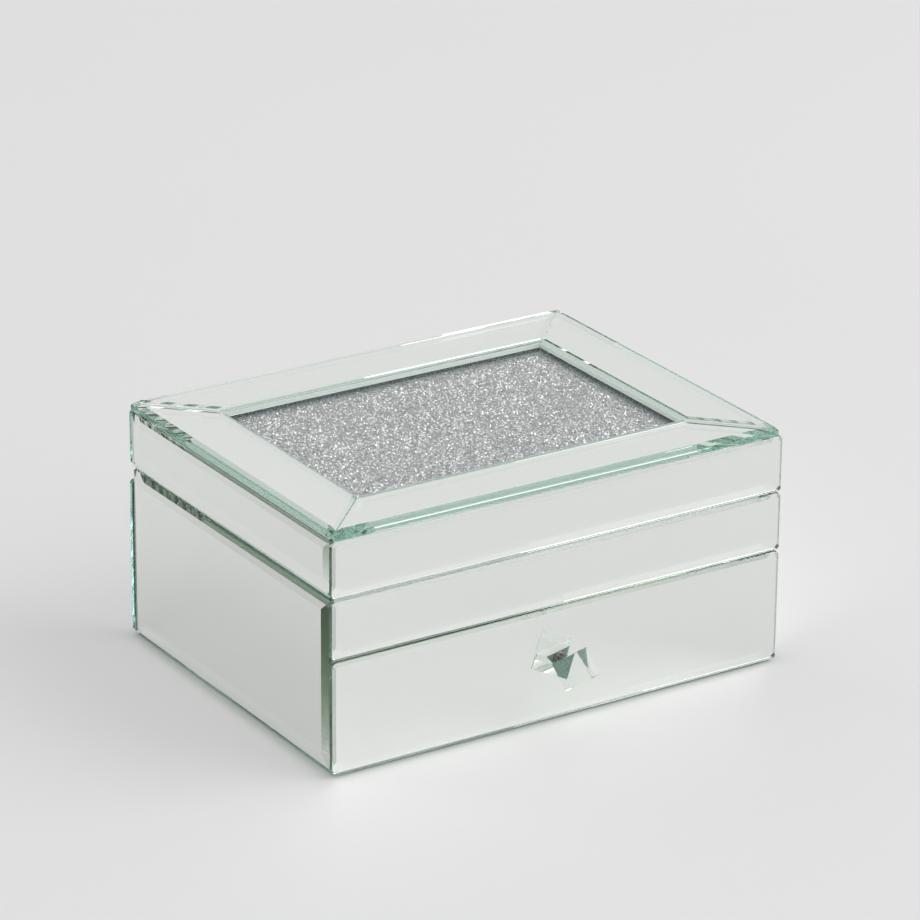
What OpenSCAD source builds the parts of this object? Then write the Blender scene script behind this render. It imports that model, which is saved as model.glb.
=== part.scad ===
// Mirror-clad vanity trinket box: a lid on two butt hinges, a lined top tray
// with ring rolls, and one lined drawer with a clear cube knob.
// X runs along the front, -Y faces the user, +Z is up. The origin is the
// centre of the underside, on the surface that the box stands on.

/* [Overall size] */
// Width across the front mirrors
box_w = 260; // [230:1:320]
// Depth from the front mirrors' face to the back mirror's face
box_d = 201; // [170:1:240]
// Thickness of the felt sheet under the base
felt_t = 1.5; // [1:0.1:3]

/* [Heights of the mirrored faces] */
// Height of the drawer's mirror
drawer_face_h = 58.6; // [55:0.1:80]
// Height of the fixed mirror above the drawer
rail_face_h = 30.5; // [29:0.1:45]
// Height of the lid's side mirrors
lid_face_h = 29.5; // [29:0.1:45]
// Open seam between drawer, body and lid
seam = 1; // [1:0.1:1.5]

/* [Mirror glass] */
// Thickness of the upright mirrors
glass_t = 4; // [3:0.5:5]
// Width of the bevel around the front mirrors of the drawer, body and lid
front_bevel_w = 5; // [4:0.1:12]
// Thickness left at the outer edge of those bevels
front_edge_t = 2.85; // [1.5:0.01:2.95]
// Width of the bevel around the body's side and back mirrors
body_bevel_w = 7; // [4:0.1:12]
// Thickness left at the outer edge of those bevels
body_edge_t = 2.38; // [1.5:0.01:2.95]
// Width of the bevel around the lid's side and back mirrors
lid_bevel_w = 5.4; // [4:0.1:12]
// Thickness left at the outer edge of those bevels
lid_edge_t = 2.95; // [1.5:0.01:2.95]
// Gap between mirrors that meet at a corner
joint_gap = 0.2; // [0.1:0.05:0.3]
// Distance from the body's top rim down to the back mirror's top edge
back_drop = 6.8; // [6:0.1:9]
// How far the body's back mirror stops short of the side mirrors' faces
body_back_short = 0.7; // [0:0.1:2]
// How far the lid's back mirror stops short of the side mirrors' faces
lid_back_short = 1.5; // [0:0.1:2]

/* [Top frame and crystal panel] */
// Thickness of the four mitred top mirrors
top_t = 5; // [4:0.5:6]
// Width of the four mitred top mirrors
strip_w = 33.6; // [25:0.1:45]
// How far the top mirrors stand in from the faces of the upright mirrors
top_inset = 2; // [0:0.1:3]
// Chamfer around the face of each top mirror
chamfer = 2.25; // [1:0.25:2.5]

// Depth of that chamfer where two top mirrors meet
mitre_drop = 0.45; // [0.3:0.05:1]
// Thickness of the clear cover over the crystals
cover_t = 3; // [2:0.5:3.5]
// Depth of the crushed crystal bed
crystal_t = 1.2; // [0.8:0.1:2]
// How far the crystal panel runs under the top mirrors
panel_lap = 8; // [5:1:15]

/* [Boards and lining] */
// Thickness of the body and lid walls
wall_t = 6; // [5:0.5:8]
// Thickness of the lid's top board
lid_board_t = 8; // [6:0.5:8]
// Thickness of the shelf between tray and drawer
shelf_t = 4; // [3:0.5:5]
// Thickness of the drawer's sides and back
drawer_wall_t = 5; // [4:0.5:6]
// Thickness of the drawer's bottom
drawer_floor_t = 3; // [2:0.5:4]
// Thickness of the velvet-covered lining cards
lining_t = 1; // [0.8:0.1:1.5]

/* [Tray] */
// Width of the ring roll bay at the left of the tray
ring_bay_w = 88; // [70:1:100]
// Height of the tray's dividers above the lining
divider_h = 20; // [15:0.5:20]
// Thickness of the tray's dividers
divider_t = 2; // [1.5:0.1:3]

/* [Knob] */
// Edge length of the clear cube knob
knob_size = 14.9; // [12:0.1:16]
// Sideways place of the knob from the middle of the drawer
knob_x = 2.3; // [-10:0.1:10]
// Turn of the cube about the line from its corner through its middle
knob_spin = 41.7; // [0:0.1:120]
// Radius of the knob's metal base
base_r = 4; // [3.8:0.1:6]
// Thickness of the knob's metal base
base_t = 1.6; // [1:0.1:2.5]

/* [Hinges] */
// Length of each butt hinge
hinge_l = 30; // [24:1:40]
// Distance of each hinge from the middle of the box
hinge_x = 75; // [60:1:90]
// Outer radius of the hinge knuckles
knuckle_r = 2.3; // [2.2:0.05:2.4]
// Radius of the hinge pins
pin_r = 1.2; // [1:0.05:1.3]

/* [Hidden] */

mirror_col = [0.86, 0.88, 0.87];
board_col = [0.30, 0.30, 0.31];
velvet_col = [0.55, 0.55, 0.58];
metal_col = [0.75, 0.76, 0.78];
clear_col = [0.85, 0.93, 0.90, 0.5];

// each bevel as its width and its edge thickness
front_bevel = [front_bevel_w, front_edge_t];
body_bevel = [body_bevel_w, body_edge_t];
lid_bevel = [lid_bevel_w, lid_edge_t];

// half sizes of the glass and of the boards behind it
half_w = box_w / 2;
half_d = box_d / 2;
board_x = half_w - glass_t;
board_y = half_d - glass_t;
in_x = board_x - wall_t;
in_y = board_y - wall_t;

// levels
z_base = felt_t;
z_drawer_top = z_base + drawer_face_h;
z_rail = z_drawer_top + seam;
z_rim = z_rail + rail_face_h;
z_lid = z_rim + seam;
z_lid_top = z_lid + lid_face_h;
z_floor = z_base + wall_t;
z_shelf = z_rail + 0.5;
z_tray = z_shelf + shelf_t;
z_lining = z_tray + lining_t;
z_lid_board = z_lid_top - lid_board_t;

// the sides stop short of the plane that the drawer's mirror closes on
front_clear = 0.5;
side_front_y = -board_y + front_clear;

// drawer box
slide_gap = 0.5;
run_gap = 0.7;
drawer_x = in_x - slide_gap;
drawer_z = z_floor + run_gap;
drawer_top_z = z_shelf - 6.6;
drawer_back_gap = 6;
drawer_y1 = in_y - drawer_back_gap;
drawer_y0 = -in_y;
drawer_in_x = drawer_x - drawer_wall_t;
drawer_in_y = drawer_y1 - drawer_wall_t;
drawer_in_z = drawer_z + drawer_floor_t;

// crystal panel
open_x = half_w - top_inset - strip_w;
open_y = half_d - top_inset - strip_w;
panel_x = open_x + panel_lap;
panel_y = open_y + panel_lap;
panel_gap = 0.2;
z_crystal = z_lid_top - cover_t - crystal_t;

// knob
knob_z = z_base + drawer_face_h / 2 - 1.1;
knob_tilt = acos(1 / sqrt(3));
knob_out = 8.8;
boss_r = 2.6;
boss_l = 1.2;
screw_r = 1.95;
screw_hole_r = 2.2;
head_r = 3.8;
head_h = 2.4;
base_y = -half_d - base_t;

// hinges
leaf_t = 1;
lid_clear = 0.4;
axis_y = half_d - 2.6;
axis_z = z_lid - knuckle_r - lid_clear;
bore_r = pin_r + 0.05;
knuckle_gap = 0.3;
mid_l = 11.4;
end_l = (hinge_l - mid_l) / 2 - knuckle_gap;
pin_head_r = 1.9;
pin_head_t = 0.6;
groove_gap = 0.4;
groove_l = hinge_l + 2 * pin_head_t + 2;
leaf_low_z = axis_z - 14.5;
leaf_in_y = in_y + 0.4;
leaf_neck_z = axis_z - knuckle_r - groove_gap;
leaf_neck_y = axis_y - knuckle_r - groove_gap;
hinge_screw_r = 1.1;
hinge_head_r = 1.9;
hinge_head_h = 0.8;
body_screw_l = 4.6;
lid_screw_l = 8;
hinge_screw_dx = 9;
body_screw_z = axis_z - 9;
lid_screw_y = in_y + 2.5;

// ring rolls
roll_count = 6;
roll_gap = 0.4;
roll_base_h = 4;
tray_in_x = in_x - lining_t;
tray_in_y = in_y - lining_t;
roll_pitch = 2 * tray_in_y / roll_count;
roll_r = (roll_pitch - roll_gap) / 2;
bay_x = -tray_in_x + ring_bay_w;

fine = 48;

// a block between two corners
module block(a, b) {
  translate(a) cube(b - a);
}

// a bevelled mirror, silvered face on z = 0 and bevelled face up;
// bevel is the bevel's width and its edge thickness
module mirror(w, h, bevel) {
  inset = bevel[0];
  hull() {
    translate([-w / 2, -h / 2, 0]) cube([w, h, bevel[1]]);
    translate([inset - w / 2, inset - h / 2, 0])
      cube([w - 2 * inset, h - 2 * inset, glass_t]);
  }
}

// stands a mirror on its bottom edge, facing the way that turn says
module upright(turn, out, z0, z1, w, bevel) {
  rotate([0, 0, turn])
    translate([0, -out + glass_t, (z0 + z1) / 2])
      rotate([90, 0, 0]) mirror(w, z1 - z0, bevel);
}

// outline of a mitred top mirror, set in by c along its length and by e at the mitres
function mitred(len, c, e) = let (m = e * sqrt(2) + joint_gap / 2) [
  [c + m - len / 2, c],
  [len / 2 - c - m, c],
  [len / 2 - strip_w + c - m, strip_w - c],
  [strip_w - c + m - len / 2, strip_w - c]
];

// a mitred top mirror on the side of the box that turn says
module top_mirror(turn, out, len) {
  rotate([0, 0, turn]) translate([0, top_inset - out, z_lid_top]) hull() {
    linear_extrude(top_t - chamfer) polygon(mitred(len - 2 * top_inset, 0, 0));
    linear_extrude(top_t - mitre_drop)
      polygon(mitred(len - 2 * top_inset, chamfer - mitre_drop, 0));
    linear_extrude(top_t) polygon(mitred(len - 2 * top_inset, chamfer, chamfer));
  }
}

// four lining cards that stand inside a rectangular space
module card_ring(x, y0, y1, z0, z1) {
  inner = x - lining_t;
  for (s = [-1, 1]) {
    a = s < 0 ? -x : inner;
    block([a, y0, z0], [a + lining_t, y1, z1]);
  }
  block([-inner, y0, z0], [inner, y0 + lining_t, z1]);
  block([-inner, y1 - lining_t, z0], [inner, y1, z1]);
}

// places a hinge part at the left (s = -1) or right (s = 1) hinge
module at_hinge(s) {
  translate([s * hinge_x, axis_y, axis_z]) children();
}

// a round bar along X, centred on the hinge axis
module bar(r, l) {
  rotate([0, 90, 0]) cylinder(r = r, h = l, center = true, $fn = fine);
}

// a countersunk screw, head flush at z = 0 and point down
module countersunk(l) {
  translate([0, 0, -hinge_head_h])
    cylinder(r1 = hinge_screw_r, r2 = hinge_head_r, h = hinge_head_h, $fn = fine);
  translate([0, 0, -l])
    cylinder(r = hinge_screw_r, h = l - hinge_head_h, $fn = fine);
}

module body_hinge_screws(s) {
  for (d = [-1, 1])
    translate([s * hinge_x + d * hinge_screw_dx, board_y, body_screw_z])
      rotate([-90, 0, 0]) countersunk(body_screw_l);
}

module lid_hinge_screws(s) {
  for (d = [-1, 1])
    translate([s * hinge_x + d * hinge_screw_dx, lid_screw_y, z_rim])
      rotate([180, 0, 0]) countersunk(lid_screw_l);
}

// ---- body ----

module felt_base() {
  color([0.12, 0.12, 0.13])
    block([-board_x + 2, -board_y + 3, 0], [board_x - 2, board_y - 2, felt_t]);
}

module bottom_board() {
  color(board_col)
    block([-board_x, side_front_y, z_base], [board_x, board_y, z_floor]);
}

module side_board(s) {
  x0 = s < 0 ? -board_x : in_x;
  color(board_col)
    block([x0, side_front_y, z_floor], [x0 + wall_t, board_y, z_rim]);
}
module side_board_left() { side_board(-1); }
module side_board_right() { side_board(1); }

// let in for the hinges: knuckle groove, leaf recess and rim mortise
module back_board() {
  color(board_col) difference() {
    block([-in_x, in_y, z_floor], [in_x, board_y, z_rim]);
    for (s = [-1, 1]) {
      translate([s * hinge_x, 0, 0]) {
        block([-groove_l / 2, leaf_neck_y, leaf_neck_z],
              [groove_l / 2, board_y + 1, z_rim + 1]);
        block([-groove_l / 2, in_y - 1, z_rim - lid_clear],
              [groove_l / 2, board_y + 1, z_rim + 1]);
        block([-hinge_l / 2, board_y - leaf_t, leaf_low_z],
              [hinge_l / 2, board_y + 1, z_rim + 1]);
      }
      body_hinge_screws(s);
    }
  }
}

module front_rail() {
  color(board_col) block([-in_x, -board_y, z_rail], [in_x, -in_y, z_rim]);
}

module tray_shelf() {
  color(board_col) block([-in_x, -in_y, z_shelf], [in_x, in_y, z_tray]);
}

module body_mirror_side(turn) {
  mid_y = (side_front_y + board_y - joint_gap) / 2;
  color(mirror_col) translate([0, mid_y, 0])
    upright(turn, half_w, z_base, z_rim, board_y - joint_gap - side_front_y,
            body_bevel);
}
module body_mirror_left() { body_mirror_side(-90); }
module body_mirror_right() { body_mirror_side(90); }
module body_mirror_back() {
  color(mirror_col)
    upright(180, half_d, z_base, z_rim - back_drop,
            box_w - 2 * body_back_short, body_bevel);
}
module rail_mirror() {
  color(mirror_col) upright(0, half_d, z_rail, z_rim, box_w, front_bevel);
}

module tray_floor_lining() {
  color(velvet_col) block([-in_x, -in_y, z_tray], [in_x, in_y, z_lining]);
}

module tray_wall_lining() {
  color(velvet_col) card_ring(in_x, -in_y, in_y, z_lining, z_rim - 1);
}

module tray_divider_long() {
  color(velvet_col)
    block([bay_x, -tray_in_y, z_lining],
          [bay_x + divider_t, tray_in_y, z_lining + divider_h]);
}

module tray_divider_cross() {
  color(velvet_col)
    block([bay_x + divider_t, -divider_t / 2, z_lining],
          [tray_in_x, divider_t / 2, z_lining + divider_h]);
}

// a round-topped foam roll that lies along X; rings stand between two
module ring_roll(i) {
  y = -tray_in_y + (i - 0.5) * roll_pitch;
  color([0.70, 0.70, 0.72])
    translate([-tray_in_x + roll_gap, y, z_lining])
      rotate([90, 0, 90]) linear_extrude(ring_bay_w - 2 * roll_gap) {
        translate([-roll_r, 0]) square([2 * roll_r, roll_base_h]);
        intersection() {
          translate([0, roll_base_h]) circle(r = roll_r, $fn = fine);
          translate([-roll_r, 0]) square([2 * roll_r, 2 * roll_r]);
        }
      }
}
module ring_roll_1() { ring_roll(1); }
module ring_roll_2() { ring_roll(2); }
module ring_roll_3() { ring_roll(3); }
module ring_roll_4() { ring_roll(4); }
module ring_roll_5() { ring_roll(5); }
module ring_roll_6() { ring_roll(6); }

// clear dots on the rim that the closed lid settles on
module rim_bumpers() {
  for (s = [-1, 1])
    color(clear_col) translate([s * (in_x + wall_t / 2), -in_y + 6, z_rim])
      cylinder(r = 2.5, h = seam - lid_clear, $fn = fine);
}

// fixed leaf: a plate let into the back board, and the two end knuckles
module hinge_leaf_body(s) {
  end_x = (mid_l + end_l) / 2 + knuckle_gap;
  color(metal_col) difference() {
    union() {
      translate([s * hinge_x, 0, 0]) {
        block([-hinge_l / 2, board_y - leaf_t, leaf_low_z],
              [hinge_l / 2, board_y, leaf_neck_z]);
        for (d = [-1, 1])
          block([d * end_x - end_l / 2, board_y - leaf_t, leaf_neck_z - 1],
                [d * end_x + end_l / 2, board_y, axis_z]);
      }
      at_hinge(s) for (d = [-1, 1])
        translate([d * end_x, 0, 0]) bar(knuckle_r, end_l);
    }
    at_hinge(s) bar(bore_r, 2 * hinge_l);
    body_hinge_screws(s);
  }
}
module hinge_leaf_body_left() { hinge_leaf_body(-1); }
module hinge_leaf_body_right() { hinge_leaf_body(1); }

module hinge_pin(s) {
  color(metal_col) at_hinge(s) {
    bar(pin_r, hinge_l + pin_head_t);
    for (d = [-1, 1])
      translate([d * (hinge_l + pin_head_t) / 2, 0, 0])
        bar(pin_head_r, pin_head_t);
  }
}
module hinge_pin_left() { hinge_pin(-1); }
module hinge_pin_right() { hinge_pin(1); }

module hinge_screws_body() {
  color(metal_col) for (s = [-1, 1]) body_hinge_screws(s);
}

// ---- drawer ----

module knob_axis(y) {
  translate([knob_x, y, knob_z]) rotate([90, 0, 0]) children();
}

module drawer_front_board() {
  color(board_col) difference() {
    block([-drawer_x, -board_y, drawer_z],
          [drawer_x, drawer_y0, z_drawer_top - slide_gap]);
    knob_axis(0) cylinder(r = screw_hole_r, h = box_d, $fn = fine);
  }
}

module drawer_side(s) {
  x0 = s < 0 ? -drawer_x : drawer_in_x;
  color(board_col)
    block([x0, drawer_y0, drawer_z],
          [x0 + drawer_wall_t, drawer_y1, drawer_top_z]);
}
module drawer_side_left() { drawer_side(-1); }
module drawer_side_right() { drawer_side(1); }

module drawer_back() {
  color(board_col)
    block([-drawer_in_x, drawer_in_y, drawer_z],
          [drawer_in_x, drawer_y1, drawer_top_z]);
}

module drawer_bottom() {
  color(board_col)
    block([-drawer_in_x, drawer_y0, drawer_z],
          [drawer_in_x, drawer_in_y, drawer_in_z]);
}

module drawer_floor_lining() {
  color(velvet_col)
    block([-drawer_in_x, drawer_y0, drawer_in_z],
          [drawer_in_x, drawer_in_y, drawer_in_z + lining_t]);
}

module drawer_wall_lining() {
  color(velvet_col) difference() {
    card_ring(drawer_in_x, drawer_y0, drawer_in_y,
              drawer_in_z + lining_t, drawer_top_z - 0.5);
    knob_axis(0) cylinder(r = head_r + 0.8, h = box_d, $fn = fine);
  }
}

module drawer_mirror() {
  color(mirror_col) difference() {
    upright(0, half_d, z_base, z_drawer_top, box_w, front_bevel);
    knob_axis(0) cylinder(r = screw_hole_r, h = box_d, $fn = fine);
  }
}

// round plate and threaded boss that is bonded into the crystal
module knob_base() {
  color(metal_col) difference() {
    union() {
      knob_axis(-half_d) cylinder(r = base_r, h = base_t, $fn = fine);
      knob_axis(base_y) cylinder(r = boss_r, h = boss_l, $fn = fine);
    }
    knob_axis(-half_d + 1)
      cylinder(r = screw_r, h = base_t + boss_l, $fn = fine);
  }
}

// a cube stood on one corner, the corner ground flat on the base
module knob_crystal() {
  color(clear_col) difference() {
    knob_axis(-half_d - knob_out) rotate([0, 0, knob_spin])
      rotate([0, knob_tilt, 0]) rotate([0, 0, 45])
        cube(knob_size, center = true);
    translate([knob_x - knob_size, base_y, knob_z - knob_size])
      cube(2 * knob_size);
    knob_axis(base_y) cylinder(r = boss_r, h = boss_l, $fn = fine);
  }
}

module knob_screw() {
  reach = drawer_y0 - base_y + boss_l - 1.5;
  color(metal_col) {
    knob_axis(drawer_y0) cylinder(r = screw_r, h = reach, $fn = fine);
    knob_axis(drawer_y0 + head_h) cylinder(r = head_r, h = head_h, $fn = fine);
  }
}

// ---- lid ----

module lid_front_board() {
  color(board_col)
    block([-in_x, -board_y, z_lid], [in_x, -in_y, z_lid_board]);
}

module lid_back_board() {
  color(board_col) difference() {
    block([-in_x, in_y, z_lid], [in_x, board_y, z_lid_board]);
    for (s = [-1, 1]) lid_hinge_screws(s);
  }
}

module lid_side(s) {
  x0 = s < 0 ? -board_x : in_x;
  color(board_col)
    block([x0, -board_y, z_lid], [x0 + wall_t, board_y, z_lid_board]);
}
module lid_side_left() { lid_side(-1); }
module lid_side_right() { lid_side(1); }

// top board, routed out for the crystals and their cover
module lid_top_board() {
  color(board_col) difference() {
    block([-board_x, -board_y, z_lid_board], [board_x, board_y, z_lid_top]);
    block([-panel_x, -panel_y, z_crystal], [panel_x, panel_y, z_lid_top + 1]);
  }
}

module lid_mirror_front() {
  color(mirror_col) upright(0, half_d, z_lid, z_lid_top, box_w, front_bevel);
}
module lid_mirror_back() {
  color(mirror_col)
    upright(180, half_d, z_lid, z_lid_top, box_w - 2 * lid_back_short,
            lid_bevel);
}
module lid_mirror_side(turn) {
  color(mirror_col)
    upright(turn, half_w, z_lid, z_lid_top, 2 * (board_y - joint_gap),
            lid_bevel);
}
module lid_mirror_left() { lid_mirror_side(-90); }
module lid_mirror_right() { lid_mirror_side(90); }

module top_mirror_front() { color(mirror_col) top_mirror(0, half_d, box_w); }
module top_mirror_back() { color(mirror_col) top_mirror(180, half_d, box_w); }
module top_mirror_left() { color(mirror_col) top_mirror(-90, half_w, box_d); }
module top_mirror_right() { color(mirror_col) top_mirror(90, half_w, box_d); }

module crystal_bed() {
  color([0.72, 0.73, 0.75])
    block([panel_gap - panel_x, panel_gap - panel_y, z_crystal],
          [panel_x - panel_gap, panel_y - panel_gap, z_crystal + crystal_t]);
}

module cover_glass() {
  color(clear_col)
    block([panel_gap - panel_x, panel_gap - panel_y, z_crystal + crystal_t],
          [panel_x - panel_gap, panel_y - panel_gap, z_lid_top]);
}

module lid_top_lining() {
  color(velvet_col)
    block([-in_x, -in_y, z_lid_board - lining_t], [in_x, in_y, z_lid_board]);
}

module lid_wall_lining() {
  color(velvet_col)
    card_ring(in_x, -in_y, in_y, z_lid + 1, z_lid_board - lining_t);
}

// moving leaf: a plate under the lid's back board, and the middle knuckle
module hinge_leaf_lid(s) {
  color(metal_col) difference() {
    union() {
      translate([s * hinge_x, 0, 0]) {
        block([-hinge_l / 2, leaf_in_y, z_rim],
              [hinge_l / 2, leaf_neck_y, z_lid]);
        block([-mid_l / 2, leaf_neck_y - 1, z_rim],
              [mid_l / 2, axis_y, z_lid]);
      }
      at_hinge(s) bar(knuckle_r, mid_l);
    }
    at_hinge(s) bar(bore_r, 2 * hinge_l);
    lid_hinge_screws(s);
  }
}
module hinge_leaf_lid_left() { hinge_leaf_lid(-1); }
module hinge_leaf_lid_right() { hinge_leaf_lid(1); }

module hinge_screws_lid() {
  color(metal_col) for (s = [-1, 1]) lid_hinge_screws(s);
}

felt_base();
bottom_board();
side_board_left();
side_board_right();
back_board();
front_rail();
tray_shelf();
body_mirror_left();
body_mirror_right();
body_mirror_back();
rail_mirror();
tray_floor_lining();
tray_wall_lining();
tray_divider_long();
tray_divider_cross();
ring_roll_1();
ring_roll_2();
ring_roll_3();
ring_roll_4();
ring_roll_5();
ring_roll_6();
rim_bumpers();
hinge_leaf_body_left();
hinge_leaf_body_right();
hinge_pin_left();
hinge_pin_right();
hinge_screws_body();
drawer_front_board();
drawer_side_left();
drawer_side_right();
drawer_back();
drawer_bottom();
drawer_floor_lining();
drawer_wall_lining();
drawer_mirror();
knob_base();
knob_crystal();
knob_screw();
lid_front_board();
lid_back_board();
lid_side_left();
lid_side_right();
lid_top_board();
lid_mirror_front();
lid_mirror_back();
lid_mirror_left();
lid_mirror_right();
top_mirror_front();
top_mirror_back();
top_mirror_left();
top_mirror_right();
crystal_bed();
cover_glass();
lid_top_lining();
lid_wall_lining();
hinge_leaf_lid_left();
hinge_leaf_lid_right();
hinge_screws_lid();
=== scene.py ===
"""Vanity trinket box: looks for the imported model. Metres, +Z up, -Y is the drawer side."""

import math

import bmesh
import bpy
import numpy as np
from mathutils import Matrix, Vector, noise


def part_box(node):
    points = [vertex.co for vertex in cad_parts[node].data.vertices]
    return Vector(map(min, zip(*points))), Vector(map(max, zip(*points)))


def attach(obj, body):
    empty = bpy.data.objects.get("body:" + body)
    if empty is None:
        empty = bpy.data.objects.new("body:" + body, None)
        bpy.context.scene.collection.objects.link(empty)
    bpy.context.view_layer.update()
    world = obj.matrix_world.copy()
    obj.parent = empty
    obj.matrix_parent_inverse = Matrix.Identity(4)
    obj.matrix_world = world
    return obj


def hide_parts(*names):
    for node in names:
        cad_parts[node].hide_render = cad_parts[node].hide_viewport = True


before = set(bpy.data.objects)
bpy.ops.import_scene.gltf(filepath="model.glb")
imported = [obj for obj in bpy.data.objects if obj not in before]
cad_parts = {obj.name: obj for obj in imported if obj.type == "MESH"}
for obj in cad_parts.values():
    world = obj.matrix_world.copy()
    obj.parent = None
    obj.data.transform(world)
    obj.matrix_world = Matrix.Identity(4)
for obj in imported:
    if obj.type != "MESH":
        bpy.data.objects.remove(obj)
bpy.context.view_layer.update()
MM = 0.001

# ---------------------------------------------------------------- sizes that the frame doesn't give
FRONT_BEVEL = (5.0 * MM, 2.85 * MM)  # a bevel's width, and the glass left at its outer edge
BODY_BEVEL = (7.0 * MM, 2.38 * MM)
LID_BEVEL = (5.4 * MM, 2.95 * MM)
DUB = 1.6 * MM  # corner taken off each upright mirror
ARRIS = 0.2 * MM  # fine chamfer along every cut edge
CHAMFER = 2.25 * MM  # chamfer round the face of each top mirror
MITRE_DROP = 0.45 * MM  # depth of the same chamfer along a mitre
JOINT_GAP = 0.2 * MM  # between two top mirrors
COAT = 0.04 * MM  # room for the silver between the glass and the board
COAT_SUNK = COAT / 8  # part of a coat that lies inside the glass
COAT_PROUD = COAT * 0.75  # and the part outside it
CHIP_PITCH = 1.62 * MM  # mean spacing of the crystal chips
CHIP_MARGIN = 5 * MM  # how far the chips run on under the frame
FRAME_PAINTED_SHADE = 7 * MM  # width of the painted shade on the chips along the frame
KNOB_SIZE = 14.9 * MM  # edge of the knob's cube
KNOB_OUT = 8.8 * MM  # centre of the cube in front of the base's back
KNOB_SPIN = 41.7  # degrees about the knob's axis
KNOB_NICK = 0.3 * MM  # chamfer of the cube's edges
PLATE_T = 1.6 * MM  # thickness of the knob's metal plate
PLATE_R = 4 * MM
CARD_T = 1 * MM  # thickness of a lining card
ROLL_INSET = 1.3 * MM  # a roll starts this much smaller and swells

GLASS, SILVER, FROSTED = 0, 1, 2  # material slots of a mirror

OUTWARD = {
    "front": Vector((0, -1, 0)),
    "back": Vector((0, 1, 0)),
    "left": Vector((-1, 0, 0)),
    "right": Vector((1, 0, 0)),
}
UP = Vector((0, 0, 1))


# ---------------------------------------------------------------- materials
def node_material(name):
    """A new material with a Principled shader; returns (material, node tree, shader)."""
    mat = bpy.data.materials.new(name)
    mat.use_nodes = True
    return mat, mat.node_tree, mat.node_tree.nodes["Principled BSDF"]


def add_node(tree, kind, **inputs):
    """Adds a node and sets its inputs by name, with spaces written as underscores."""
    node = tree.nodes.new(kind)
    for key, value in inputs.items():
        node.inputs[key.replace("_", " ")].default_value = value
    return node


def object_noise(tree, scale, detail=3.0, roughness=0.5):
    """Noise over the object's own coordinates; scale is cycles per metre."""
    where = tree.nodes.new("ShaderNodeTexCoord")
    noise = add_node(tree, "ShaderNodeTexNoise", Scale=scale, Detail=detail, Roughness=roughness)
    tree.links.new(where.outputs["Object"], noise.inputs["Vector"])
    return noise.outputs["Fac"]


def ramp(tree, source, low, high, from_low=0.3, from_high=0.7):
    """Maps a value to low..high."""
    node = add_node(tree, "ShaderNodeMapRange")
    node.inputs["From Min"].default_value = from_low
    node.inputs["From Max"].default_value = from_high
    node.inputs["To Min"].default_value = low
    node.inputs["To Max"].default_value = high
    tree.links.new(source, node.inputs["Value"])
    return node.outputs["Result"]


def colour_between(tree, source, low, high, from_low=0.3, from_high=0.7):
    """Maps a value to a colour between low and high."""
    node = tree.nodes.new("ShaderNodeValToRGB")
    node.color_ramp.elements[0].position = from_low
    node.color_ramp.elements[0].color = (*low, 1)
    node.color_ramp.elements[1].position = from_high
    node.color_ramp.elements[1].color = (*high, 1)
    tree.links.new(source, node.inputs["Fac"])
    return node.outputs["Color"]


def add_math(tree, operation, first, second):
    """A Math node; each of its two inputs is a number or another node's output."""
    node = tree.nodes.new("ShaderNodeMath")
    node.operation = operation
    for socket, value in zip(node.inputs, (first, second)):
        if isinstance(value, (int, float)):
            socket.default_value = value
        else:
            tree.links.new(value, socket)
    return node.outputs["Value"]


def add_bump(tree, shader, height, strength, distance):
    """Gives the shader a bump from a height."""
    bump = add_node(tree, "ShaderNodeBump", Strength=strength, Distance=distance)
    tree.links.new(height, bump.inputs["Height"])
    tree.links.new(bump.outputs["Normal"], shader.inputs["Normal"])


def glass_material(name, tint, density, ior=1.52):
    """Clear float glass: smooth faces and green absorption through its depth."""
    mat, tree, shader = node_material(name)
    shader.inputs["Base Color"].default_value = (1, 1, 1, 1)
    shader.inputs["Transmission Weight"].default_value = 1
    shader.inputs["IOR"].default_value = ior
    shader.inputs["Roughness"].default_value = 0
    absorb = add_node(tree, "ShaderNodeVolumeAbsorption", Color=(*tint, 1), Density=density)
    tree.links.new(absorb.outputs["Volume"], tree.nodes["Material Output"].inputs["Volume"])
    return mat


def silver_material():
    """The silvered face behind the glass, very slightly uneven."""
    mat, tree, shader = node_material("silver_coat")
    shader.inputs["Metallic"].default_value = 1
    patch = object_noise(tree, 9, 2)
    tint = colour_between(tree, patch, (0.925, 0.923, 0.895), (0.935, 0.933, 0.905))
    tree.links.new(tint, shader.inputs["Base Color"])
    shader.inputs["Roughness"].default_value = 0.0
    return mat


def frosted_material():
    """A ground glass edge: fine, pale and matt."""
    mat, tree, shader = node_material("ground_edge")
    grain = object_noise(tree, 1800, 3)
    tone = colour_between(tree, grain, (0.78, 0.88, 0.84), (0.88, 0.96, 0.93))
    tree.links.new(tone, shader.inputs["Base Color"])
    tree.links.new(ramp(tree, grain, 0.5, 0.8), shader.inputs["Roughness"])
    return mat


GREEN = (0.22, 0.78, 0.76)
mirror_glass = glass_material("mirror_glass", GREEN, 5)
cover_clear = glass_material("cover_clear", GREEN, 5)
knob_clear = glass_material("knob_clear", (0.45, 0.80, 0.62), 5)
silver = silver_material()
frosted = frosted_material()


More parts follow.
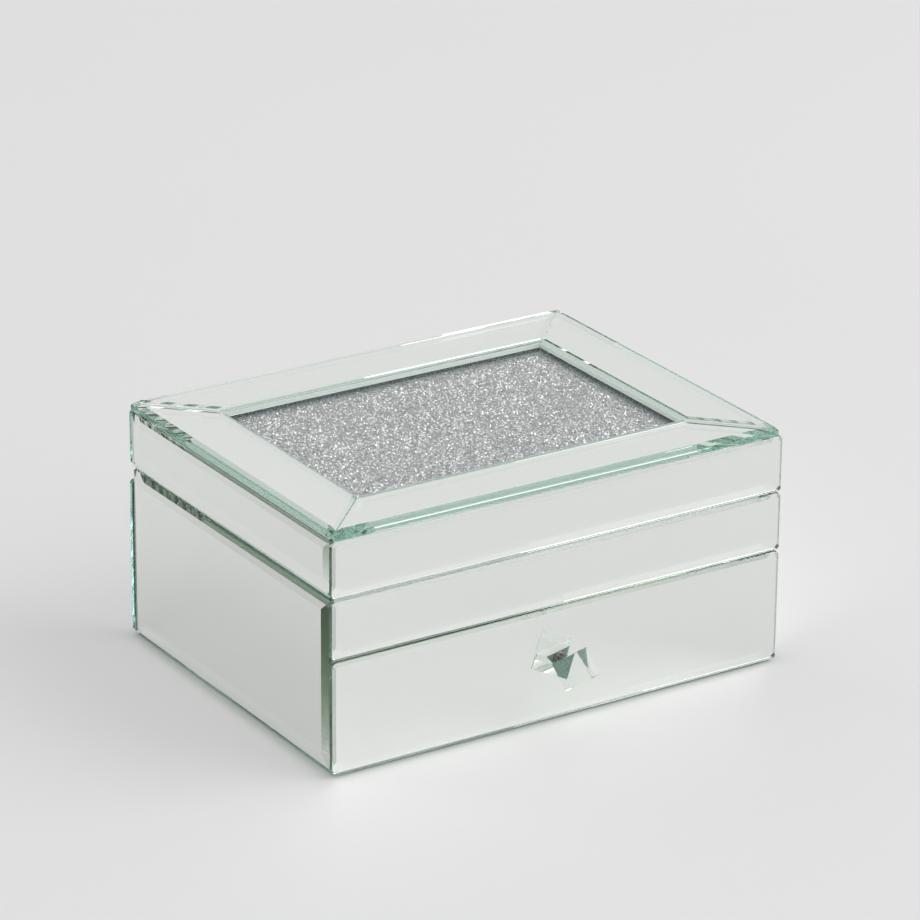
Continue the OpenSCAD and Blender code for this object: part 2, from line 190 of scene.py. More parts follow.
# ---------------------------------------------------------------- mesh helpers
def cut_block(low, high, planes):
    """A block cut by planes, each given as a point and an outward normal."""
    bm = bmesh.new()
    size = Vector(high) - Vector(low)
    middle = (Vector(high) + Vector(low)) / 2
    bmesh.ops.create_cube(bm, size=1, matrix=Matrix.Translation(middle) @ Matrix.Diagonal((*size, 1)))
    for point, normal in planes:
        cut = bmesh.ops.bisect_plane(
            bm,
            geom=bm.verts[:] + bm.edges[:] + bm.faces[:],
            dist=1e-7,
            plane_co=Vector(point),
            plane_no=Vector(normal).normalized(),
            clear_outer=True,
        )
        rim = [e for e in cut["geom_cut"] if isinstance(e, bmesh.types.BMEdge)]
        if len(rim) > 2:
            bmesh.ops.edgeloop_fill(bm, edges=rim, mat_nr=GLASS)
    bmesh.ops.recalc_face_normals(bm, faces=bm.faces[:])
    return bm


def to_object(name, bm, mats, matrix=None, smooth=False):
    """Makes an object from a bmesh, its place baked into the mesh."""
    if matrix is not None:
        bm.transform(matrix)
    mesh = bpy.data.meshes.new(name)
    bm.to_mesh(mesh)
    bm.free()
    for mat in mats:
        mesh.materials.append(mat)
    if smooth:
        mesh.shade_smooth()
    obj = bpy.data.objects.new(name, mesh)
    bpy.context.scene.collection.objects.link(obj)
    return obj


def stand_for(obj, node, body):
    """obj takes a CAD node's place and rides on its body."""
    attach(obj, body)
    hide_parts(node)


def facing(side, origin):
    """Local X along the side, local Y up and local Z outward, from origin."""
    out = OUTWARD[side]
    along = UP.cross(out)
    return Matrix.Translation(origin) @ Matrix((along, UP, out)).transposed().to_4x4()


# ---------------------------------------------------------------- mirrors
def add_coat(bm, face, slot):
    """A thin closed coat on a face of the glass, sunk into it so that no air lies between."""
    inward = -face.normal
    near = [bm.verts.new(v.co + inward * COAT_SUNK) for v in face.verts]
    far = [bm.verts.new(v.co - inward * COAT_PROUD) for v in face.verts]
    coat = [bm.faces.new(near[::-1]), bm.faces.new(far)]
    for i in range(len(near)):
        j = (i + 1) % len(near)
        coat.append(bm.faces.new((near[i], near[j], far[j], far[i])))
    for part in coat:
        part.material_index = slot
    bmesh.ops.recalc_face_normals(bm, faces=coat)


def add_silver(bm):
    """The silver on a mirror's back."""
    add_coat(bm, next(face for face in bm.faces if face.normal.z < -0.99), SILVER)


def add_frosting(bm):
    """The ground edge beside the crystals."""
    glass = [face for face in bm.faces if face.material_index == GLASS]
    add_coat(bm, max(glass, key=lambda face: face.normal.y), FROSTED)


def upright_mirror(node, side, body, bevel):
    """A bevelled mirror with dubbed corners, silvered on its back."""
    low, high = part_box(node)
    out = OUTWARD[side]
    size = high - low
    thick = abs(size.dot(out))
    wide = size.x if side in ("front", "back") else size.y
    tall = size.z
    origin = (low + high) / 2 - out * (thick / 2 - COAT)
    thick -= COAT
    slope_w, edge_t = bevel
    edge_t -= COAT
    planes = []
    for s in (-1, 1):
        for axis, half in ((Vector((s, 0, 0)), wide / 2), (Vector((0, s, 0)), tall / 2)):
            rim = axis * half
            planes.append((rim + UP * edge_t, axis * (thick - edge_t) + UP * slope_w))
            planes.append((rim + UP * ARRIS, axis - UP))
            planes.append((rim + UP * (edge_t - ARRIS), axis + UP))
        for t in (-1, 1):
            corner = Vector((s * (wide / 2 - DUB), t * tall / 2, 0))
            planes.append((corner, Vector((s, t, 0))))
    bm = cut_block((-wide / 2, -tall / 2, 0), (wide / 2, tall / 2, thick), planes)
    add_silver(bm)
    obj = to_object(node + "_glass", bm, (mirror_glass, silver), facing(side, origin))
    stand_for(obj, node, body)


def top_mirror(node, side):
    """A mitred top mirror, chamfered all round its face, its inner edge frosted."""
    low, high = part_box(node)
    out = OUTWARD[side]
    size = high - low
    thick = size.z
    across = out.cross(UP)
    length = abs(size.dot(across)) + JOINT_GAP
    width = abs(size.dot(out))
    rim = (low + high) / 2 + out * width / 2 - UP * (thick / 2 - COAT)
    thick -= COAT
    edges = [
        (Vector((0, 0, 0)), Vector((0, -1, 0))),
        (Vector((0, width, 0)), Vector((0, 1, 0))),
    ]
    for s in (-1, 1):
        mitre = Vector((s, 1, 0)).normalized()
        edges.append((Vector((s * length / 2, 0, 0)) - mitre * JOINT_GAP / 2, mitre))
    planes = []
    for i, (point, normal) in enumerate(edges):
        drop = CHAMFER if i < 2 else MITRE_DROP
        planes.append((point, normal))
        planes.append((point + UP * (thick - drop), normal * drop + UP * CHAMFER))
        planes.append((point + UP * ARRIS, normal - UP))
        planes.append((point + UP * (thick - drop - ARRIS), normal + UP * 0.4))
    bm = cut_block((-length / 2, 0, 0), (length / 2, width, thick), planes)
    add_silver(bm)
    add_frosting(bm)
    inward = -out
    along = inward.cross(UP)
    place = Matrix.Translation(rim) @ Matrix((along, inward, UP)).transposed().to_4x4()
    obj = to_object(node + "_glass", bm, (mirror_glass, silver, frosted), place)
    stand_for(obj, node, "lid")


for side in OUTWARD:
    upright_mirror("lid_mirror_" + side, side, "lid", FRONT_BEVEL if side == "front" else LID_BEVEL)
    top_mirror("top_mirror_" + side, side)
for side in ("left", "right", "back"):
    upright_mirror("body_mirror_" + side, side, "body", BODY_BEVEL)
upright_mirror("rail_mirror", "front", "body", FRONT_BEVEL)
upright_mirror("drawer_mirror", "front", "drawer", FRONT_BEVEL)


# ---------------------------------------------------------------- crystal panel
def frame_distance(tree, half_x, half_y):
    """How far a point lies in from the frame: 0 at its edge, 1 from FRAME_PAINTED_SHADE on."""
    where = tree.nodes.new("ShaderNodeTexCoord")
    parts = tree.nodes.new("ShaderNodeSeparateXYZ")
    tree.links.new(where.outputs["Object"], parts.inputs["Vector"])
    rooms = []
    for axis, half in (("X", half_x), ("Y", half_y)):
        size = add_math(tree, "ABSOLUTE", parts.outputs[axis], 0.5)
        rooms.append(add_math(tree, "SUBTRACT", half, size))
    nearest = add_math(tree, "MINIMUM", *rooms)
    return ramp(tree, nearest, 0, 1, 0, FRAME_PAINTED_SHADE)


def crystal_material(half_x, half_y):
    """Silvered chips, each with a tone and polish of its own, darkened along the frame with painted shade
    for the frame's shadow.
    """
    mat, tree, shader = node_material("crushed_crystal")
    chip = tree.nodes.new("ShaderNodeNewGeometry").outputs["Random Per Island"]
    tone = colour_between(tree, chip, (0.13, 0.13, 0.13), (1.0, 1.0, 1.0), 0.0, 0.55)
    inside = frame_distance(tree, half_x, half_y)
    # painted shade: the chips turn dark teal towards the frame, standing for the shadow of the frame strips
    shade = colour_between(tree, inside, (0.05, 0.10, 0.10), (1.0, 1.0, 1.0), 0.1, 1.0)
    both = tree.nodes.new("ShaderNodeMixRGB")
    both.blend_type = "MULTIPLY"
    both.inputs["Fac"].default_value = 1
    tree.links.new(tone, both.inputs["Color1"])
    tree.links.new(shade, both.inputs["Color2"])
    tree.links.new(both.outputs["Color"], shader.inputs["Base Color"])
    tree.links.new(ramp(tree, chip, 0.0, 0.22, 0, 1), shader.inputs["Roughness"])
    shader.inputs["Metallic"].default_value = 0.8
    return mat


def random_turns(rng, count):
    """One random rotation matrix for each chip, from random quaternions."""
    turn = rng.normal(size=(count, 4))
    turn /= np.linalg.norm(turn, axis=1)[:, None]
    w, x, y, z = turn.T
    rows = [
        np.stack([1 - 2 * (y * y + z * z), 2 * (x * y - z * w), 2 * (x * z + y * w)], 1),
        np.stack([2 * (x * y + z * w), 1 - 2 * (x * x + z * z), 2 * (y * z - x * w)], 1),
        np.stack([2 * (x * z - y * w), 2 * (y * z + x * w), 1 - 2 * (x * x + y * y)], 1),
    ]
    return np.stack(rows, 1)


def crushed_crystals():
    """Thousands of loose silvered chips, each an eight-faced splinter of its own."""
    low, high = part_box("crystal_bed")
    hole_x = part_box("top_mirror_right")[0].x
    hole_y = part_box("top_mirror_back")[0].y
    rng = np.random.default_rng(11)
    xs = np.arange(-hole_x - CHIP_MARGIN, hole_x + CHIP_MARGIN, CHIP_PITCH)
    ys = np.arange(-hole_y - CHIP_MARGIN, hole_y + CHIP_MARGIN, CHIP_PITCH)
    gx, gy = np.meshgrid(xs, ys)
    count = gx.size
    centre = np.stack([gx.ravel(), gy.ravel(), np.zeros(count)], 1)
    centre[:, :2] += rng.uniform(-0.45, 0.45, (count, 2)) * CHIP_PITCH
    reach = rng.uniform(0.35, 1.0, (count, 3)) * CHIP_PITCH * 0.78
    axes = random_turns(rng, count) * reach[:, :, None]
    points = np.concatenate([axes, -axes], 1)
    points[:, 3:] *= rng.uniform(0.5, 1.0, (count, 3, 1))
    top = high.z - 0.05 * MM
    room = points[:, :, 2].max(1)
    centre[:, 2] = top - room - rng.uniform(0, 0.45, count) * MM
    verts = centre[:, None, :] + points
    verts[:, :, 2] = np.maximum(verts[:, :, 2], low.z + 0.02 * MM)
    tris = [(a, b, c) for a in (0, 3) for b in (1, 4) for c in (2, 5)]
    tris = np.array([t if (t[0] > 2) ^ (t[1] > 3) ^ (t[2] > 4) else t[::-1] for t in tris])
    faces = (np.arange(count)[:, None, None] * 6 + tris[None]).reshape(-1, 3)
    mesh = bpy.data.meshes.new("crushed_crystals")
    mesh.from_pydata(verts.reshape(-1, 3).tolist(), [], faces.tolist())
    mesh.materials.append(crystal_material(hole_x, hole_y))
    obj = bpy.data.objects.new("crushed_crystals", mesh)
    bpy.context.scene.collection.objects.link(obj)
    stand_for(obj, "crystal_bed", "lid")


def crystal_glue():
    """The grey adhesive bed that the chips are set in."""
    low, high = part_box("crystal_bed")
    bm = cut_block(low, (high.x, high.y, low.z + 0.3 * MM), [])
    mat, tree, shader = node_material("crystal_glue")
    tone = colour_between(tree, object_noise(tree, 900), (0.12, 0.12, 0.13), (0.30, 0.30, 0.31))
    tree.links.new(tone, shader.inputs["Base Color"])
    shader.inputs["Roughness"].default_value = 0.4
    obj = to_object("crystal_glue", bm, (mat,))
    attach(obj, "lid")


def cover_glass():
    """The clear pane over the chips."""
    low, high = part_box("cover_glass")
    top = high.z - 0.03 * MM
    bm = cut_block(low + UP * 0.01 * MM, (high.x, high.y, top), [])
    obj = to_object("cover_glass_pane", bm, (cover_clear,))
    stand_for(obj, "cover_glass", "lid")


crushed_crystals()
crystal_glue()
cover_glass()


# ---------------------------------------------------------------- knob
def knob_bond(corners, plate_y):
    """The film of cured glue between the crystal's ground corner and its metal plate."""
    mat, tree, shader = node_material("bond_film")
    speckle = object_noise(tree, 1500, 4, 0.65)
    tone = colour_between(tree, speckle, (0.05, 0.08, 0.07), (0.25, 0.40, 0.33), 0.38, 0.52)
    tree.links.new(tone, shader.inputs["Base Color"])
    tree.links.new(ramp(tree, speckle, 0.25, 0.5), shader.inputs["Roughness"])
    bm = bmesh.new()
    near = [bm.verts.new((v.x, v.y - 0.005 * MM, v.z)) for v in corners]
    far = [bm.verts.new((v.x, plate_y - 0.002 * MM, v.z)) for v in corners]
    bm.faces.new(near)
    bm.faces.new(far[::-1])
    for i in range(len(corners)):
        j = (i + 1) % len(corners)
        bm.faces.new((near[i], far[i], far[j], near[j]))
    bmesh.ops.recalc_face_normals(bm, faces=bm.faces[:])
    obj = to_object("knob_bond", bm, (mat,))
    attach(obj, "drawer")


def knob_collar(axis, front, back):
    """The turned plate under the crystal, its chrome darkened with painted shade; its edge is broken on
    both sides.
    """
    broken = 0.3 * MM
    profile = [(0, front), (PLATE_R - broken, front), (PLATE_R, front + broken)]
    profile += [(PLATE_R, back - broken), (PLATE_R - broken, back), (0, back)]
    bm = bmesh.new()
    points = [bm.verts.new((axis.x + r, y, axis.z)) for r, y in profile]
    edges = [bm.edges.new(pair) for pair in zip(points, points[1:])]
    bmesh.ops.spin(
        bm,
        geom=points + edges,
        cent=axis,
        axis=(0, 1, 0),
        angle=math.tau,
        steps=64,
        use_merge=True,
    )
    bmesh.ops.remove_doubles(bm, verts=bm.verts[:], dist=0.001 * MM)
    bmesh.ops.recalc_face_normals(bm, faces=bm.faces[:])
    obj = to_object("knob_collar", bm, (chrome_with_painted_shade,))
    stand_for(obj, "knob_base", "drawer")


def cube_knob():
    """A clear cube on its corner, the corner ground flat on the metal base."""
    low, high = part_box("knob_base")
    axis = (low + high) / 2
    plate_y = high.y - PLATE_T
    tilt = math.acos(1 / math.sqrt(3))
    turn = (
        Matrix.Rotation(math.radians(90), 4, "X")
        @ Matrix.Rotation(math.radians(KNOB_SPIN), 4, "Z")
        @ Matrix.Rotation(tilt, 4, "Y")
        @ Matrix.Rotation(math.radians(45), 4, "Z")
    )
    place = Matrix.Translation((axis.x, high.y - KNOB_OUT, axis.z)) @ turn
    planes = []
    half = KNOB_SIZE / 2
    for a in range(3):
        for b in range(a + 1, 3):
            for s in (-1, 1):
                for t in (-1, 1):
                    normal = Vector((0, 0, 0))
                    normal[a], normal[b] = s, t
                    planes.append((normal * (half - KNOB_NICK / 2), normal))
    back = place.inverted() @ Vector((axis.x, plate_y - 0.02 * MM, axis.z))
    toward_plate = turn.to_3x3().inverted() @ Vector((0, 1, 0))
    planes.append((back, toward_plate))
    bm = cut_block((-half,) * 3, (half,) * 3, planes)
    ground = max(bm.faces, key=lambda face: face.normal.dot(toward_plate.normalized()))
    knob_bond([place @ v.co for v in ground.verts], plate_y)
    knob_collar(axis, plate_y, high.y)
    obj = to_object("knob_cube", bm, (knob_clear,), place)
    stand_for(obj, "knob_crystal", "drawer")


# ---------------------------------------------------------------- boards and metal
def paint(nodes, mat):
    """Gives CAD nodes a material."""
    for name in nodes:
        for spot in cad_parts[name].material_slots:
            spot.material = mat


def board_material():
    """Fibreboard rolled with dark grey paint, faintly mottled."""
    mat, tree, shader = node_material("board_paint")
    mottle = object_noise(tree, 45, 5, 0.6)
    tone = colour_between(tree, mottle, (0.026, 0.027, 0.030), (0.052, 0.053, 0.057))
    tree.links.new(tone, shader.inputs["Base Color"])
    tree.links.new(ramp(tree, mottle, 0.62, 0.80), shader.inputs["Roughness"])
    add_bump(tree, shader, object_noise(tree, 1300, 4, 0.65), 0.5, 0.08 * MM)
    shader.inputs["Specular IOR Level"].default_value = 0.35
    return mat


def metal_material(name, colour, smooth, rough, grain):
    """Plated metal; grain is how many times finer the brushing is across X than along it."""
    mat, tree, shader = node_material(name)
    shader.inputs["Metallic"].default_value = 1
    where = tree.nodes.new("ShaderNodeTexCoord")
    stretch = tree.nodes.new("ShaderNodeMapping")
    stretch.inputs["Scale"].default_value = (1 / grain, 1, 1)
    tree.links.new(where.outputs["Object"], stretch.inputs["Vector"])
    lines = add_node(tree, "ShaderNodeTexNoise", Scale=2600, Detail=3)
    tree.links.new(stretch.outputs["Vector"], lines.inputs["Vector"])
    patch = object_noise(tree, 130, 4)
    darker = tuple(c * 0.86 for c in colour)
    tree.links.new(colour_between(tree, patch, darker, colour), shader.inputs["Base Color"])
    tree.links.new(ramp(tree, patch, smooth, rough), shader.inputs["Roughness"])
    add_bump(tree, shader, lines.outputs["Fac"], 0.25, 0.02 * MM)
    return mat


BOARDS = ["bottom_board", "side_board_left", "side_board_right", "back_board", "front_rail", "tray_shelf"]
BOARDS += ["drawer_front_board", "drawer_side_left", "drawer_side_right", "drawer_back", "drawer_bottom"]
BOARDS += ["lid_front_board", "lid_back_board", "lid_side_left", "lid_side_right", "lid_top_board"]
HINGES = ["hinge_leaf_body_left", "hinge_leaf_body_right", "hinge_leaf_lid_left", "hinge_leaf_lid_right"]
HINGES += ["hinge_pin_left", "hinge_pin_right"]

nickel = metal_material("nickel", (0.74, 0.72, 0.69), 0.16, 0.34, 12)
chrome = metal_material("chrome", (0.84, 0.85, 0.86), 0.03, 0.10, 1)
# painted shade: this chrome is darkened for the shade that the knob's plate lies in under the crystal
chrome_with_painted_shade = metal_material("chrome_with_painted_shade", (0.26, 0.25, 0.245), 0.08, 0.20, 1)
paint(BOARDS, board_material())
paint(HINGES, nickel)
paint(["knob_screw"], chrome)
cube_knob()


# ---------------------------------------------------------------- hinge screws
def cross_screw(radius, length, dish):
    """A countersunk screw pointing down from z = 0, with a cross recess in its head."""
    sides = 32
    face_z = 0.015 * MM
    profile = [(radius * 0.7, face_z), (radius * 0.96, 0), (radius, -0.06 * MM)]
    profile += [(radius * 0.58, -dish), (radius * 0.55, -length)]
    bm = bmesh.new()
    rings = []
    for r, z in profile:
        turns = [2 * math.pi * i / sides for i in range(sides)]
        rings.append([bm.verts.new((r * math.cos(a), r * math.sin(a), z)) for a in turns])
    for upper, lower in zip(rings, rings[1:]):
        for i in range(sides):
            j = (i + 1) % sides
            bm.faces.new((upper[i], lower[i], lower[j], upper[j]))
    bm.faces.new(rings[-1][::-1])
    # the top of the head: a cross-shaped pit inside a ring of flat metal
    arm, waist, deep = radius * 0.62, radius * 0.15, 0.55 * MM
    corners = []
    for k in range(4):
        c, s = round(math.cos(k * math.pi / 2)), round(math.sin(k * math.pi / 2))
        for x, y in ((arm, -waist), (arm, waist), (waist, waist)):
            corners.append((x * c - y * s, x * s + y * c))
    top = [bm.verts.new((x, y, face_z)) for x, y in corners]
    pit = [bm.verts.new((x * 0.6, y * 0.6, -deep)) for x, y in corners]
    for i in range(12):
        j = (i + 1) % 12
        bm.faces.new((top[i], pit[i], pit[j], top[j]))
    bm.faces.new(pit)
    rim = rings[0]
    edges = [bm.edges.get((rim[i], rim[(i + 1) % sides])) for i in range(sides)]
    edges += [bm.edges.get((top[i], top[(i + 1) % 12])) for i in range(12)]
    bmesh.ops.triangle_fill(bm, edges=edges, use_beauty=True)
    bmesh.ops.recalc_face_normals(bm, faces=bm.faces[:])
    return bm


def hinge_screws(node, leaves, body, down, spacing=9 * MM):
    """Two screws in each leaf, pointing the way that down says."""
    low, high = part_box(node)
    middle = (low + high) / 2
    head = middle - down * abs((high - low).dot(down)) / 2
    whole = bmesh.new()
    for leaf in leaves:
        a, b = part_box(leaf)
        for k, side in enumerate((-1, 1)):
            one = cross_screw(1.88 * MM, abs((high - low).dot(down)) - 0.1 * MM, 0.8 * MM)
            spot = Vector(((a.x + b.x) / 2 + side * spacing, head.y, head.z)) + down * 0.02 * MM
            turn = down.to_track_quat("-Z", "Y").to_matrix().to_4x4()
            twist = Matrix.Rotation(math.radians(25 + 40 * k + 300 * a.x), 4, "Z")
            one.transform(Matrix.Translation(spot) @ turn @ twist)
            mesh = bpy.data.meshes.new("one_screw")
            one.to_mesh(mesh)
            whole.from_mesh(mesh)
            one.free()
            bpy.data.meshes.remove(mesh)
    obj = to_object(node + "_cross", whole, (nickel,))
    stand_for(obj, node, body)


hinge_screws("hinge_screws_body", HINGES[0:2], "body", Vector((0, -1, 0)))
hinge_screws("hinge_screws_lid", HINGES[2:4], "lid", Vector((0, 0, 1)))


# ---------------------------------------------------------------- velvet, felt and foam
def pile_material(name, dark, light, sheen, fibre, nap):
    """Cloth with a pile: fine fibres and patches where the nap lies another way."""
    mat, tree, shader = node_material(name)
    brushed = object_noise(tree, 38, 3, 0.55)
    fibres = object_noise(tree, fibre, 4, 0.7)
    patches = add_math(tree, "MULTIPLY", brushed, nap)
    mixed = add_math(tree, "ADD", patches, add_math(tree, "MULTIPLY", fibres, 1 - nap))
    tone = colour_between(tree, mixed, dark, light, 0.36, 0.64)
    tree.links.new(tone, shader.inputs["Base Color"])
    shader.inputs["Roughness"].default_value = 0.95
    shader.inputs["Specular IOR Level"].default_value = 0.15
    shader.inputs["Sheen Weight"].default_value = sheen
    shader.inputs["Sheen Roughness"].default_value = 0.35
    shader.inputs["Sheen Tint"].default_value = (0.86, 0.87, 0.92, 1)
    add_bump(tree, shader, fibres, 0.8, 0.12 * MM)
    return mat


lining_velvet = pile_material("lining_velvet", (0.085, 0.090, 0.105), (0.16, 0.165, 0.185), 0.9, 2600, 0.55)
roll_velvet = pile_material("roll_velvet", (0.125, 0.130, 0.150), (0.21, 0.22, 0.245), 1.0, 2600, 0.55)
base_felt = pile_material("base_felt", (0.008, 0.008, 0.009), (0.028, 0.028, 0.031), 0.25, 1500, 0.35)


def add_card(bm, low, high, rounding, relief):
    """A cloth-covered card: rounded edges and a face that isn't quite flat."""
    low, high = Vector(low), Vector(high)
    size = high - low
    thin = min(range(3), key=lambda a: size[a])
    card = bmesh.new()
    place = Matrix.Translation((low + high) / 2) @ Matrix.Diagonal((*size, 1))
    bmesh.ops.create_cube(card, size=1, matrix=place)
    bmesh.ops.bevel(card, geom=card.edges[:], offset=rounding, segments=3, profile=0.5, affect="EDGES")
    for axis in range(3):
        if axis == thin:
            continue
        normal = Vector([1.0 if a == axis else 0.0 for a in range(3)])
        steps = int(size[axis] / (6 * MM))
        for i in range(1, steps):
            point = low + normal * (rounding + (size[axis] - 2 * rounding) * i / steps)
            geom = card.verts[:] + card.edges[:] + card.faces[:]
            bmesh.ops.bisect_plane(card, geom=geom, dist=1e-7, plane_co=point, plane_no=normal)
    middle = (low[thin] + high[thin]) / 2
    for v in card.verts:
        wave = noise.noise(v.co * 45) * 0.6 + noise.noise(v.co * 160) * 0.4
        inward = -1 if v.co[thin] > middle else 1
        v.co[thin] += inward * relief * (0.5 + 0.5 * wave)
    mesh = bpy.data.meshes.new("card")
    card.to_mesh(mesh)
    card.free()
    bm.from_mesh(mesh)
    bpy.data.meshes.remove(mesh)


def lining(node, body, mat, boxes, rounding=0.42 * MM, relief=0.12 * MM):
    """One node's cards as one object."""
    bm = bmesh.new()
    for low, high in boxes:
        add_card(bm, low, high, rounding, relief)
    obj = to_object(node + "_cloth", bm, (mat,), smooth=True)
    stand_for(obj, node, body)


def wall_cards(node):
    """The four cards that stand round the inside of a space."""
    low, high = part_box(node)
    gap = 0.05 * MM
    a, b = low + Vector((gap, gap, 0)), high - Vector((gap, gap, 0))
    return [
        (a, (a.x + CARD_T, b.y, b.z)),
        ((b.x - CARD_T, a.y, a.z), b),
        ((a.x + CARD_T + gap, a.y, a.z), (b.x - CARD_T - gap, a.y + CARD_T, b.z)),
        ((a.x + CARD_T + gap, b.y - CARD_T, a.z), (b.x - CARD_T - gap, b.y, b.z)),
    ]


FLAT_LININGS = [("tray_floor_lining", "body"), ("drawer_floor_lining", "drawer"), ("lid_top_lining", "lid")]
WALL_LININGS = [("tray_wall_lining", "body"), ("drawer_wall_lining", "drawer"), ("lid_wall_lining", "lid")]
for node, body in FLAT_LININGS:
    lining(node, body, lining_velvet, [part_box(node)])
for node, body in WALL_LININGS:
    lining(node, body, lining_velvet, wall_cards(node))
for node in ("tray_divider_long", "tray_divider_cross"):
    lining(node, "body", lining_velvet, [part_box(node)], 0.9 * MM, 0.1 * MM)
lining("felt_base", "body", base_felt, [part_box("felt_base")], 0.4 * MM, 0.1 * MM)


def swell(obj, start, cap):
    """Cloth with air pressure inside, applied; no point moves further than cap."""
    scene = bpy.context.scene
    cloth = obj.modifiers.new("swell", "CLOTH")
    cloth.settings.use_pressure = True
    cloth.settings.uniform_pressure_force = 4
    cloth.settings.effector_weights.gravity = 0
    cloth.settings.tension_stiffness = 6
    cloth.settings.bending_stiffness = 0.2
    for number in range(1, 21):
        scene.frame_set(number)
    solved = obj.evaluated_get(bpy.context.evaluated_depsgraph_get())
    moved = [v.co.copy() for v in solved.data.vertices]
    obj.modifiers.remove(cloth)
    scene.frame_set(1)
    for v, there, here in zip(obj.data.vertices, moved, start):
        step = there - here
        if step.length > cap:
            step *= cap / step.length
        v.co = here + step


def ring_roll(number):
    """A velvet-covered foam roll, swollen by cloth simulation and sewn near its ends."""
    node = f"ring_roll_{number}"
    low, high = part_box(node)
    middle = (low + high) / 2
    half = (high - low) / 2
    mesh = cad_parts[node].data.copy()
    mesh.materials.clear()
    mesh.materials.append(roll_velvet)
    obj = bpy.data.objects.new(node + "_velvet", mesh)
    bpy.context.scene.collection.objects.link(obj)
    for v in mesh.vertices:
        for a in range(3):
            v.co[a] = middle[a] + (v.co[a] - middle[a]) * (half[a] - ROLL_INSET) / half[a]
    remesh = obj.modifiers.new("remesh", "REMESH")
    remesh.mode = "VOXEL"
    remesh.voxel_size = 2.4 * MM
    solid = obj.evaluated_get(bpy.context.evaluated_depsgraph_get())
    obj.data = bpy.data.meshes.new_from_object(solid)
    obj.modifiers.clear()
    shift = Vector((0.37 * number, 0.11 * number, 0))
    for v in obj.data.vertices:
        v.co += v.normal * 0.35 * MM * noise.noise((v.co + shift) * 110)
    start = [v.co.copy() for v in obj.data.vertices]
    swell(obj, start, ROLL_INSET * 1.1)
    for v in obj.data.vertices:
        end = half.x - abs(v.co.x - middle.x)
        groove = math.exp(-(((end - 5 * MM) / (1.5 * MM)) ** 2))
        crown = Vector((0, middle.y - v.co.y, low.z - v.co.z)).normalized()
        v.co += crown * 0.7 * MM * groove
        for a in range(3):
            v.co[a] = min(max(v.co[a], low[a] + 0.02 * MM), high[a] - 0.02 * MM)
    smooth = obj.modifiers.new("smooth", "SUBSURF")
    smooth.levels = 1
    round_form = obj.evaluated_get(bpy.context.evaluated_depsgraph_get())
    obj.data = bpy.data.meshes.new_from_object(round_form)
    obj.modifiers.clear()
    obj.data.shade_smooth()
    stand_for(obj, node, "body")


for number in range(1, 7):
    ring_roll(number)


# ---------------------------------------------------------------- rim bumpers
def rim_bumpers():
    """Two low clear domes on the rim."""
    low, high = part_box("rim_bumpers")
    radius = (high.y - low.y) / 2
    tall = high.z - low.z
    mat, tree, shader = node_material("clear_silicone")
    shader.inputs["Transmission Weight"].default_value = 1
    shader.inputs["IOR"].default_value = 1.41
    haze = object_noise(tree, 900, 3)
    tree.links.new(ramp(tree, haze, 0.08, 0.22), shader.inputs["Roughness"])
    tone = colour_between(tree, haze, (0.90, 0.91, 0.91), (0.97, 0.98, 0.98))
    tree.links.new(tone, shader.inputs["Base Color"])
    bm = bmesh.new()
    for x in (low.x + radius, high.x - radius):
        centre = Vector((x, (low.y + high.y) / 2, low.z))
        place = Matrix.Translation(centre) @ Matrix.Diagonal((radius, radius, tall, 1))
        bmesh.ops.create_uvsphere(bm, u_segments=32, v_segments=16, radius=1, matrix=place)
    geom = bm.verts[:] + bm.edges[:] + bm.faces[:]
    floor_z = Vector((0, 0, low.z))
    cut = bmesh.ops.bisect_plane(bm, geom=geom, plane_co=floor_z, plane_no=-UP, clear_outer=True)
    rims = [e for e in cut["geom_cut"] if isinstance(e, bmesh.types.BMEdge)]
    bmesh.ops.edgeloop_fill(bm, edges=rims)
    bmesh.ops.recalc_face_normals(bm, faces=bm.faces[:])
    obj = to_object("rim_bumper_domes", bm, (mat,), smooth=True)
    stand_for(obj, "rim_bumpers", "body")


rim_bumpers()


# ---------------------------------------------------------------- floor, light and camera
def floor():
    """A broad, pale, matt floor."""
    bm = bmesh.new()
    bmesh.ops.create_circle(bm, cap_ends=True, segments=96, radius=7)
    mat, tree, shader = node_material("studio_floor")
    tone = colour_between(tree, object_noise(tree, 1.5, 2), (0.805, 0.805, 0.805), (0.815, 0.815, 0.815))
    tree.links.new(tone, shader.inputs["Base Color"])
    shader.inputs["Roughness"].default_value = 0.9
    shader.inputs["Specular IOR Level"].default_value = 0.1
    obj = to_object("studio_floor", bm, (mat,))


def area_light(name, place, aim, size, power):
    """A rectangular lamp that faces aim."""
    data = bpy.data.lights.new(name, "AREA")
    data.shape = "RECTANGLE"
    data.size, data.size_y = size
    data.energy = power
    obj = bpy.data.objects.new(name, data)
    obj.location = place
    obj.rotation_euler = (Vector(aim) - Vector(place)).to_track_quat("-Z", "Y").to_euler()
    bpy.context.scene.collection.objects.link(obj)


SKY = 0.80  # brightness of the white surroundings
SKY_DIM = 0.12  # and of the unlit side of the room
DIM_SIDE = (-0.48, -0.75, 0.46)  # where that side is
KEY_POWER = 82  # watts of the one lamp


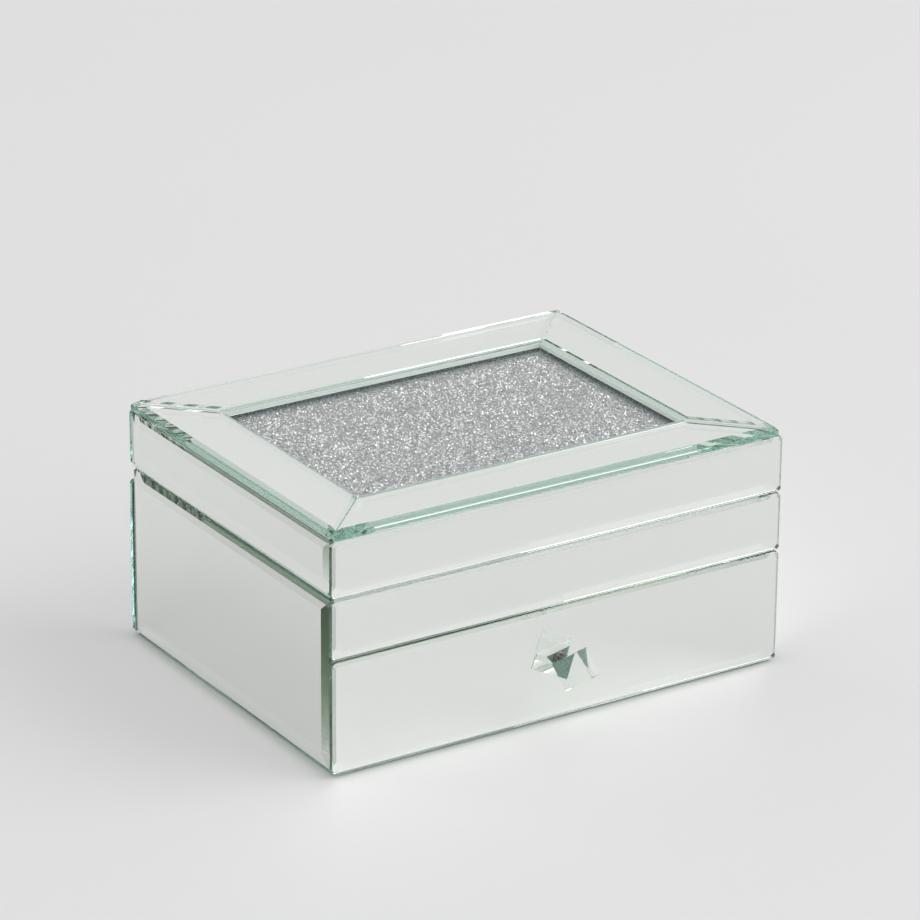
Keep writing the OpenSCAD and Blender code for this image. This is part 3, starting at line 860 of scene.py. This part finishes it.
def studio():
    """White surroundings with a dim side, and one broad soft light at the right."""
    world = bpy.data.worlds.new("studio")
    bpy.context.scene.world = world
    world.use_nodes = True
    tree = world.node_tree
    where = tree.nodes.new("ShaderNodeTexCoord")
    toward = tree.nodes.new("ShaderNodeVectorMath")
    toward.operation = "DOT_PRODUCT"
    toward.inputs[1].default_value = Vector(DIM_SIDE).normalized()
    tree.links.new(where.outputs["Generated"], toward.inputs[0])
    glow = ramp(tree, toward.outputs["Value"], SKY, SKY_DIM, 0.955, 0.985)
    tree.links.new(glow, tree.nodes["Background"].inputs["Strength"])
    tree.nodes["Background"].inputs["Color"].default_value = (1, 1, 1, 1)
    area_light("key", (3.4, -2.3, 3.4), (0, 0, 0.05), (4.2, 4.2), KEY_POWER)


def camera():
    """Stands where the photograph was taken from: a long lens, front left, looking down."""
    azimuth, elevation, roll = (math.radians(a) for a in (-32.629, 22.153, 0.429))
    distance = 2.3923
    lens = 187.11
    aim = Vector((0, -0.009, 0.05598))
    back = Vector(
        (
            math.sin(azimuth) * math.cos(elevation),
            -math.cos(azimuth) * math.cos(elevation),
            math.sin(elevation),
        )
    )
    right = UP.cross(back).normalized()
    lift = back.cross(right)
    data = bpy.data.cameras.new("camera")
    data.lens = lens
    data.sensor_width = 36
    data.clip_start = 0.1
    data.clip_end = 60
    obj = bpy.data.objects.new("camera", data)
    turned_right = right * math.cos(roll) + lift * math.sin(roll)
    turned_up = lift * math.cos(roll) - right * math.sin(roll)
    spot = aim + back * distance - turned_right * 0.00088 + turned_up * 0.04554
    facing_box = Matrix((turned_right, turned_up, back)).transposed().to_4x4()
    obj.matrix_world = Matrix.Translation(spot) @ facing_box
    bpy.context.scene.collection.objects.link(obj)
    bpy.context.scene.camera = obj


floor()
studio()
camera()

# light goes back and forth many times inside the bevels, so paths are long
scene = bpy.context.scene
scene.view_settings.view_transform = "Standard"
scene.cycles.max_bounces = 128
scene.cycles.glossy_bounces = 128
scene.cycles.transmission_bounces = 128
scene.cycles.diffuse_bounces = 5
scene.cycles.blur_glossy = 0
